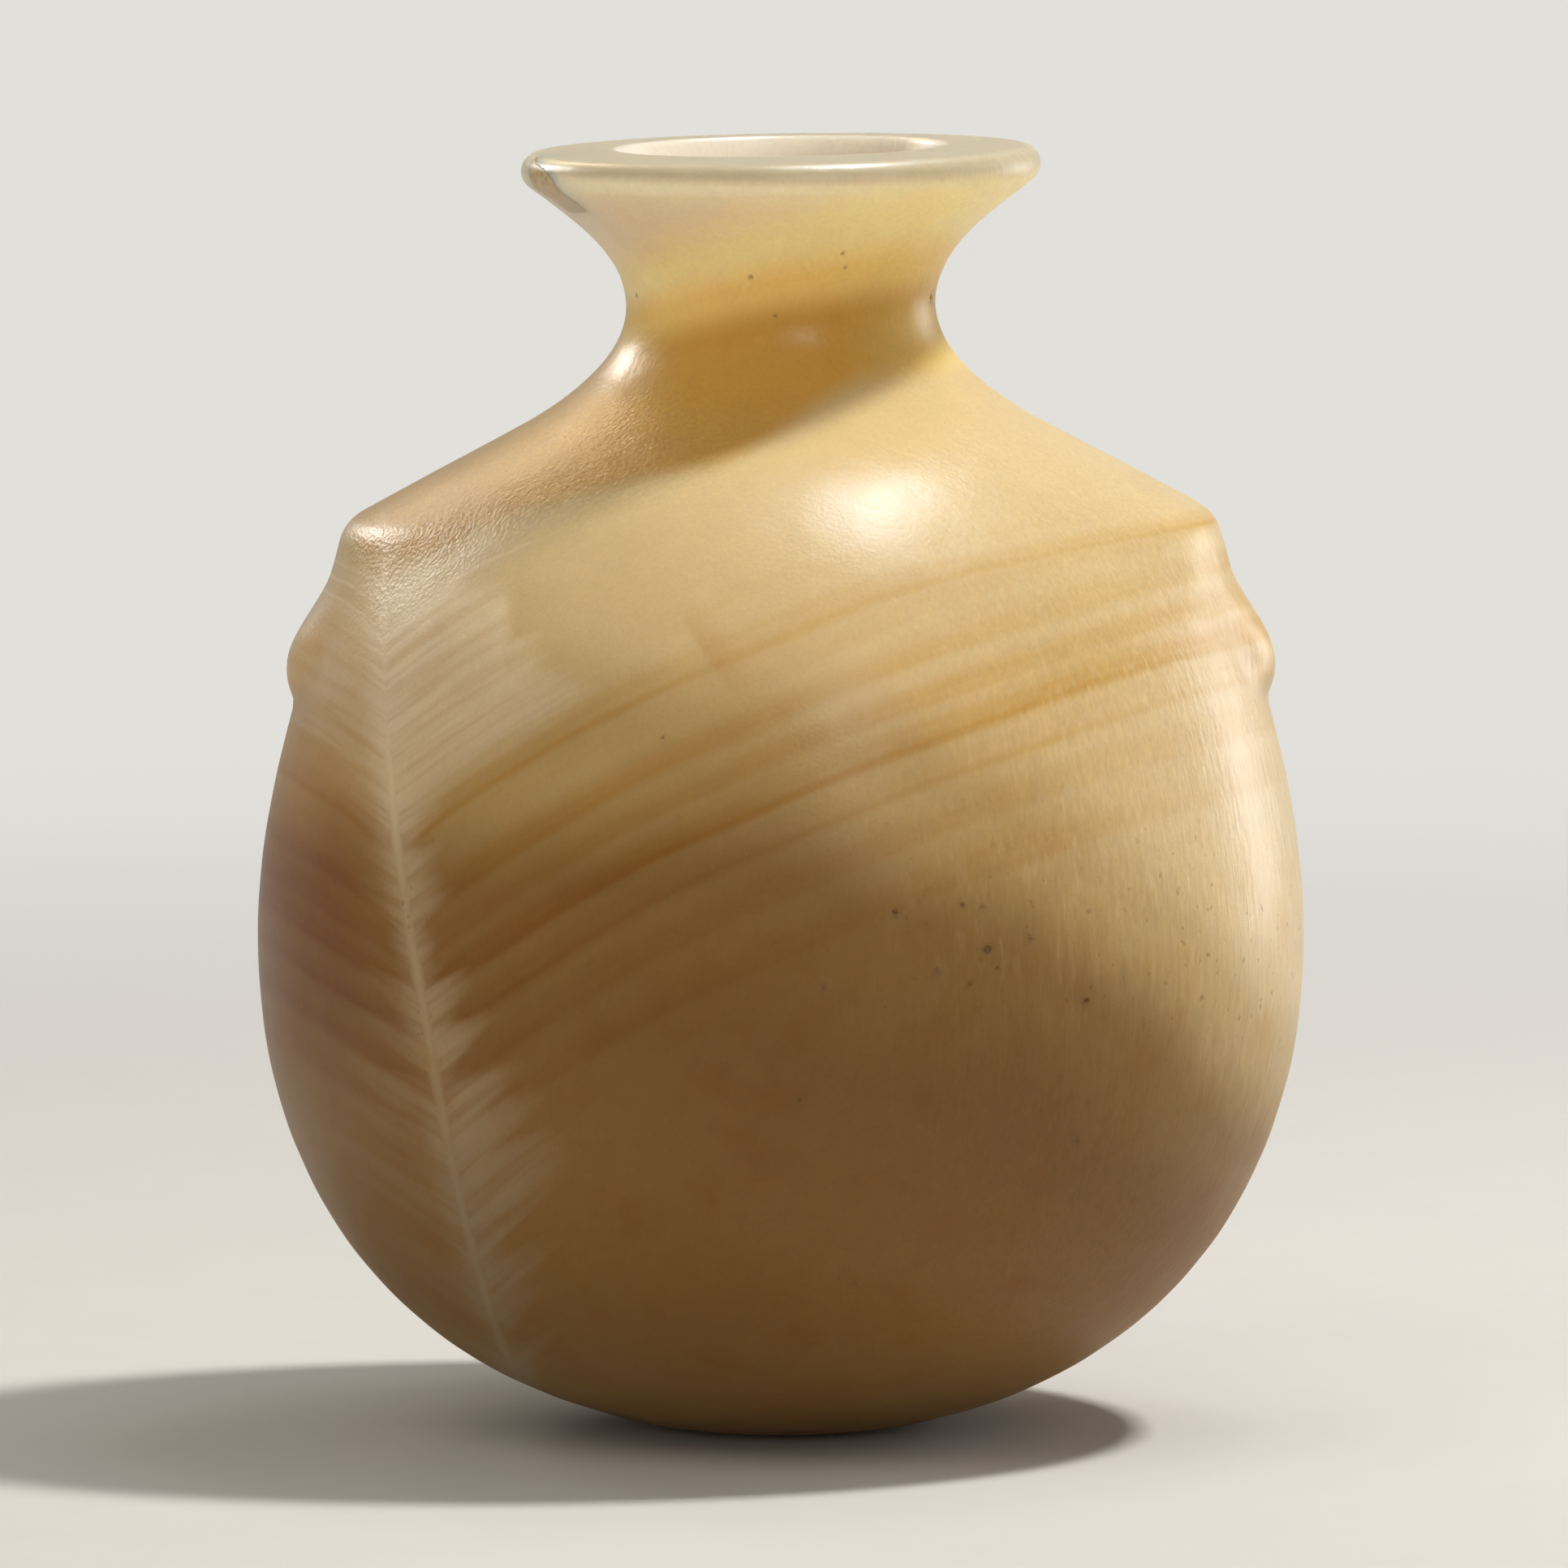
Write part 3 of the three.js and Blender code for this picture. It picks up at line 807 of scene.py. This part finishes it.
def vein_tone(b, c, tone):
    """The vein: a white core in a veil with thin lines in it, wide in some layers and narrow in others."""
    high, low = b.z.near(*HIGH_TUFTS), b.z.near(*LOW_TUFTS)
    tuft = b.noise(b.along_sheets(TUFT_SLIP), 4.6, 1).rise(0.36, 0.66)
    ragged = b.wander(b.sheet_place, 1.5, 2, 0.6)
    fullness = tuft * (high * -0.7 + 1) + high * 0.95 + 0.45 + ragged * 0.6
    reach = (high * HIGH_REACH + low * LOW_REACH + VEIN_REACH) * fullness
    share_out = b.across.size() / reach
    soft, even = share_out.fall(0.1, 1.25), share_out.fall(0.75, 1.15)
    veil = soft * (high * -0.7 + 1) + even * high * 0.8
    hair = b.noise(b.along_sheets(HAIR_SLIP), 1.9, 2, 0.6).rise(0.38, 0.70)
    core = b.across.near(0, CORE_REACH) * (high * -0.3 + 1)
    white = (veil * (hair * -0.62 + 1) * (b.left.rise(0, 4) * -0.5 + 0.86)).at_least(core)

    # A whiter patch with a sharp right end, and pale streaks that run out of it along the layers
    patch = b.right.rise(3, 9) * b.right.fall(14.5, 17) * b.z.rise(93, 97) * b.z.fall(106, 110)
    white = white.at_least(patch * (hair * -0.5 + 1) * 0.9)
    streaks = b.layer.near(*PALE_STREAKS[0])
    for level, reach in PALE_STREAKS[1:]:
        streaks = streaks + b.layer.near(level, reach)
    white = white.at_least(streaks * b.right.fall(14, 48) * 0.6)
    white = white * b.z.fall(106, 118) * b.z.rise(-4, 12)
    # The vein darkens down the zones, partly its own tone and partly the same painted shade as the stone round
    # it
    whites = ((30, c.low_vein), (66, c.mid_vein), (94, c.vein), (106, c.high_vein))
    return b.mixed(white * 0.85, tone, b.graded(b.zone, whites))


def grained_tone(b, c, tone):
    """Pale fibres, painted light on the right side, brown specks and stains, then the grain that lightens and
    darkens all of it, with painted glints on the left shoulder.
    """
    fibre = b.noise(b.stretched(b.place, (1, 1, PALE_FIBRE_SLIP)), 1.1, 2, 0.6)
    pale_fibre = fibre.rise(0.52, 0.74) * b.on_right * b.z.rise(50, 75)
    # Painted light: a pearly lightening of the right side, where the lamps on that side fall
    painted_light_right = b.x.rise(30, 60) * b.z.near(84, 30)
    tone = b.mixed(pale_fibre * 0.2 + painted_light_right * 0.4, tone, c.vein)
    brown_specks = b.noise(b.place, 1.3, 1).rise(0.68, 0.78) * b.z.near(62, 30)
    tone = b.mixed(brown_specks * 0.5, tone, c.umber)
    cloud = b.wander(b.place, 10, 3, 0.6)
    tone = b.mixed((cloud * 2.4).at_least(0) * b.z.fall(55, 85), tone, c.line, "MULTIPLY")
    grain = b.wander(b.fibre_place, 0.55, 2, 0.6) * (b.on_right * 0.26 + 0.08)
    mottle = b.wander(b.place, 2.6, 2, 0.6)
    # The speckle over that shoulder is painted glints; the rest is grain and tone
    shade = grain + b.speckle * (b.grain_and_painted_glints * 0.5 + 0.17) + mottle * 0.07 + cloud * 0.12 + 1
    return b.stretched(tone, b.joined(shade, shade, shade))


def flake_tone(b, c, tone):
    """The flake: duller stone, made darker as painted shade where the break stops light passing through the
    lip, with rust near its upper edge.
    """
    tone = b.mixed(0.8, tone, c.flake)
    rust = b.noise(b.place, 1.4, 2, 0.6).rise(0.42, 0.62) * b.z.rise(*RUST_LEVELS)
    return b.mixed(rust * 0.7, tone, c.beside, "MULTIPLY")


def surface_height(b):
    """Crystals, fibres, dimples and swells that the light picks out, in millimetres."""
    crystals = b.noise(b.place, 0.55, 2, 0.6) * (b.grain_and_painted_glints * 5 + b.z.near(106, 20) + 1) * 0.018
    fibres = b.noise(b.fibre_place, 1.3, 2, 0.6) * b.on_right * 0.09
    dimples = b.noise(b.place, 2.2) * (b.z.rise(112, 134) * 0.05 + 0.02)
    return crystals + fibres + dimples + b.noise(b.place, 9) * 0.08


def stone_material(name, c, flake=False):
    """Banded, slightly translucent calcite."""
    material = bpy.data.materials.new(name)
    material.use_nodes = True
    tree = material.node_tree
    shader = tree.nodes["Principled BSDF"].inputs
    b = Block(tree)
    tone = lined_tone(b, c, zoned_tone(b, c))
    tone = vein_tone(b, c, darker_places(b, c, upper_tone(b, c, tone)))
    tone = grained_tone(b, c, tone)
    pore_dirt_and_shade = tree.nodes.new("ShaderNodeAttribute")
    pore_dirt_and_shade.attribute_name = "pore_dirt_and_shade"
    # Dirt and painted shade darken the stone round each pore
    tone = b.mixed(Field(tree, pore_dirt_and_shade.outputs["Fac"]) * 0.45, tone, c.pit)
    if flake:
        tone = flake_tone(b, c, tone)
    plug(tree, tone, shader["Base Color"])

    duller = b.noise(b.place, 12, 3, 0.6) * 0.14 + b.speckle * 0.14 + b.z.fall(15, 65) * 0.14
    plug(tree, duller + 0.29, shader["Roughness"])
    bump = tree.nodes.new("ShaderNodeBump")
    bump.inputs["Distance"].default_value = MM
    plug(tree, surface_height(b), bump.inputs["Height"])
    tree.links.new(bump.outputs[0], shader["Normal"])
    shader["Subsurface Weight"].default_value = SCATTER_WEIGHT
    shader["Subsurface Radius"].default_value = SCATTER_TINT
    shader["Subsurface Scale"].default_value = FLAKE_SCATTER_REACH if flake else SCATTER_REACH
    shader["IOR"].default_value = CALCITE_IOR
    shader["Specular IOR Level"].default_value = CALCITE_SPECULAR
    return material


# The stage


def add_lamp(name, lights, direction, distance, size, power, tint, aim):
    """A soft lamp that looks at the vase from a direction, and lights its colour, its shine or both."""
    data = bpy.data.lights.new(name, "AREA")
    data.shape, data.size, data.size_y = "RECTANGLE", *size
    data.energy, data.color = power, tint
    lamp = bpy.data.objects.new(name, data)
    bpy.context.scene.collection.objects.link(lamp)
    way = Vector(direction).normalized()
    lamp.location = aim + way * distance
    lamp.rotation_euler = (-way).to_track_quat("-Z", "Y").to_euler()
    lamp.visible_glossy = lights != "colour"
    lamp.visible_diffuse = lights != "shine"


# Each lamp: its name, what it lights, the way to it, its distance and size in metres, its power and its tint
LAMPS = (
    ("key_softbox", "colour", (0.46, 0.08, 0.885), 1.1, (0.12, 0.12), 11.1, (1.0, 0.98, 0.95)),
    ("top_glint_back", "shine", (0.16, 0.31, 0.94), 1.1, (0.2, 0.2), 10.4, (0.84, 0.91, 1.0)),
    ("top_glint_middle", "shine", (0.21, 0.13, 0.97), 1.1, (0.2, 0.2), 7.4, (0.84, 0.91, 1.0)),
    ("top_glint_front", "shine", (0.26, -0.05, 0.96), 1.1, (0.2, 0.2), 3.2, (0.84, 0.91, 1.0)),
    ("back_left_glint", "shine", (-0.33, 0.75, 0.58), 1.1, (0.2, 0.2), 2.2, (1.0, 0.76, 0.46)),
    ("left_glint", "shine", (-0.60, 0.66, 0.44), 1.1, (0.22, 0.22), 6.0, (1.0, 0.95, 0.86)),
    ("right_softbox", "both", (0.74, 0.66, 0.08), 1.1, (0.2, 0.5), 2.0, (1.0, 0.98, 0.97)),
    ("right_glint", "shine", (0.80, 0.58, 0.12), 1.1, (0.2, 0.6), 1.4, (1.0, 0.98, 0.97)),
    ("front_glint", "shine", (0.25, -0.82, 0.51), 1.6, (0.12, 0.12), 5.4, (1.0, 0.97, 0.92)),
    ("left_bounce", "colour", (-0.50, -0.52, 0.70), 1.3, (0.8, 0.8), 2.7, (1.0, 0.92, 0.78)),
    ("front_bounce", "colour", (-0.16, -0.97, 0.10), 1.4, (0.8, 0.5), 2.9, (1.0, 0.96, 0.90)),
)


FLECK_TONE, FLECK_SHARE, FLECK_SIZE = (0.3, 0.29, 0.28), 0.06, 16
FLOOR_ROUGHNESS, MIRRORED_SHARE = 0.9, 0.5
GROUND_FADE = (180, 900)


def plain_material(name, tone, even):
    """A matt floor near the vase, which fades into an even pale ground further off."""
    material = bpy.data.materials.new(name)
    material.use_nodes = True
    tree = material.node_tree
    shader, output = tree.nodes["Principled BSDF"], tree.nodes["Material Output"]
    p = Pattern(tree)
    fleck = p.noise(p.place, FLECK_SIZE)
    plug(tree, p.mixed(fleck * FLECK_SHARE, tone, FLECK_TONE), shader.inputs["Base Color"])
    shader.inputs["Roughness"].default_value = FLOOR_ROUGHNESS
    ground = tree.nodes.new("ShaderNodeEmission")
    ground.inputs["Color"].default_value = (*even, 1)
    rays = tree.nodes.new("ShaderNodeLightPath").outputs
    mirrored = Field(tree, rays["Is Glossy Ray"]) + Field(tree, rays["Is Transmission Ray"])
    seen = Field(tree, rays["Is Camera Ray"]).math("ADD", mirrored * MIRRORED_SHARE, clamp=True)
    distance = (p.x * p.x + p.y * p.y + p.z * p.z).math("SQRT")
    both = tree.nodes.new("ShaderNodeMixShader")
    plug(tree, seen * distance.rise(*GROUND_FADE), both.inputs[0])
    tree.links.new(shader.outputs[0], both.inputs[1])
    tree.links.new(ground.outputs[0], both.inputs[2])
    tree.links.new(both.outputs[0], output.inputs["Surface"])
    return material


# The floor and the backdrop that it curves up into, in metres
SWEEP_HALF_WIDTH, SWEEP_FRONT, SWEEP_BACK, SWEEP_HEIGHT, SWEEP_BEND = 6, -4, 4, 5, 2
SWEEP_STEPS = 24


def sweep_mesh(name):
    """A floor that curves up into a backdrop."""
    bend_start = SWEEP_BACK - SWEEP_BEND
    line = [(SWEEP_FRONT, 0), (bend_start, 0)]
    for step in range(1, SWEEP_STEPS + 1):
        turn = math.pi / 2 * step / SWEEP_STEPS
        line.append((bend_start + SWEEP_BEND * math.sin(turn), SWEEP_BEND * (1 - math.cos(turn))))
    line.append((SWEEP_BACK, SWEEP_HEIGHT))
    places = [(side, y, z) for y, z in line for side in (-SWEEP_HALF_WIDTH, SWEEP_HALF_WIDTH)]
    faces = [(2 * step, 2 * step + 1, 2 * step + 3, 2 * step + 2) for step in range(len(line) - 1)]
    mesh = bpy.data.meshes.new(name)
    mesh.from_pydata(places, [], faces)
    mesh.polygons.foreach_set("use_smooth", [True] * len(faces))
    return mesh


ROOM_TINT = (1, 0.99, 0.97, 1)
SENSOR_WIDTH = 36
CLIP_START, CLIP_END = 0.1, 50


class StoneVaseBody(bpy.types.Operator):
    """Turns the body, neck, lip and lugs, and takes the seat of the flake out of the lip"""

    bl_idname = "stone_vase.body"
    bl_label = "Vase body"

    def execute(self, context):
        v, flake = context.scene.vase_sizes, context.scene.flake_sizes
        whole, outside = turned_mesh("whole", v)
        wear(whole, outside, v)
        block = flake_block("seat", v, flake, flake.joint / 2)
        blobs, spots = pore_blobs("pores", whole)
        pored = cut(whole, blobs, "DIFFERENCE", "pored")
        mesh = cut(pored, block, "DIFFERENCE", "vase_stone")
        stain_and_shade(mesh, spots)
        material = stone_material("banded_calcite", context.scene.stone_colours)
        add_piece(mesh, "vase_body", material)
        return {"FINISHED"}


class StoneVaseFlake(bpy.types.Operator):
    """Makes the flake of the lip that was set back"""

    bl_idname = "stone_vase.flake"
    bl_label = "Mended flake"

    def execute(self, context):
        v, flake = context.scene.vase_sizes, context.scene.flake_sizes
        whole, outside = turned_mesh("whole_again", v)
        wear(whole, outside, v)
        block = flake_block("flake_space", v, flake, -flake.joint / 2)
        mesh = cut(whole, block, "INTERSECT", "lip_flake")
        material = stone_material("flake_calcite", context.scene.stone_colours, flake=True)
        add_piece(mesh, "rim_flake", material)
        return {"FINISHED"}


class StoneVaseStage(bpy.types.Operator):
    """Sets out the floor, the lamps and the camera"""

    bl_idname = "stone_vase.stage"
    bl_label = "Stage"

    def execute(self, context):
        scene, s = context.scene, context.scene.stage_settings
        floor = bpy.data.objects.new("floor", sweep_mesh("floor"))
        floor.data.materials.append(plain_material("plain_floor", s.floor, s.ground))
        scene.collection.objects.link(floor)

        aim = Vector((s.aim_side, 0, s.aim_height))
        for name, lights, direction, distance, size, power, tint in LAMPS:
            add_lamp(name, lights, direction, distance, size, power * s.lamp_level, tint, aim)
        world = bpy.data.worlds.new("soft_room")
        world.use_nodes = True
        scene.world = world
        background = world.node_tree.nodes["Background"]
        background.inputs["Color"].default_value = ROOM_TINT
        background.inputs["Strength"].default_value = s.room_level

        data = bpy.data.cameras.new("camera")
        data.sensor_width, data.lens = SENSOR_WIDTH, s.lens
        data.clip_start, data.clip_end = CLIP_START, CLIP_END
        camera = bpy.data.objects.new("camera", data)
        scene.collection.objects.link(camera)
        away = Vector((0, -math.cos(s.elevation), math.sin(s.elevation)))
        camera.location = aim + away * s.distance
        camera.rotation_euler = (-away).to_track_quat("-Z", "Y").to_euler()
        scene.camera = camera
        scene.view_settings.view_transform = "Standard"
        return {"FINISHED"}


class StoneVasePanel(bpy.types.Panel):
    """Lists the sizes, the colours and the steps"""

    bl_idname = "VIEW3D_PT_stone_vase"
    bl_label = "Stone vase"
    bl_space_type = "VIEW_3D"
    bl_region_type = "UI"
    bl_category = "Stone vase"

    def draw(self, context):
        layout, scene = self.layout, context.scene
        for group in (scene.vase_sizes, scene.flake_sizes, scene.stone_colours, scene.stage_settings):
            box = layout.box()
            for name in group.__annotations__:
                box.prop(group, name)
        for step in (StoneVaseBody, StoneVaseFlake, StoneVaseStage):
            layout.operator(step.bl_idname)


GROUPS = {
    "vase_sizes": VaseSizes,
    "flake_sizes": FlakeSizes,
    "stone_colours": StoneColours,
    "stage_settings": StageSettings,
}
CLASSES = (*GROUPS.values(), StoneVaseBody, StoneVaseFlake, StoneVaseStage, StoneVasePanel)


def register():
    for part in CLASSES:
        bpy.utils.register_class(part)
    for name, group in GROUPS.items():
        setattr(bpy.types.Scene, name, bpy.props.PointerProperty(type=group))


def unregister():
    for name in GROUPS:
        delattr(bpy.types.Scene, name)
    for part in reversed(CLASSES):
        bpy.utils.unregister_class(part)


def main():
    register()
    bpy.ops.stone_vase.body()
    bpy.ops.stone_vase.flake()
    bpy.ops.stone_vase.stage()


if __name__ == "__main__":
    main()
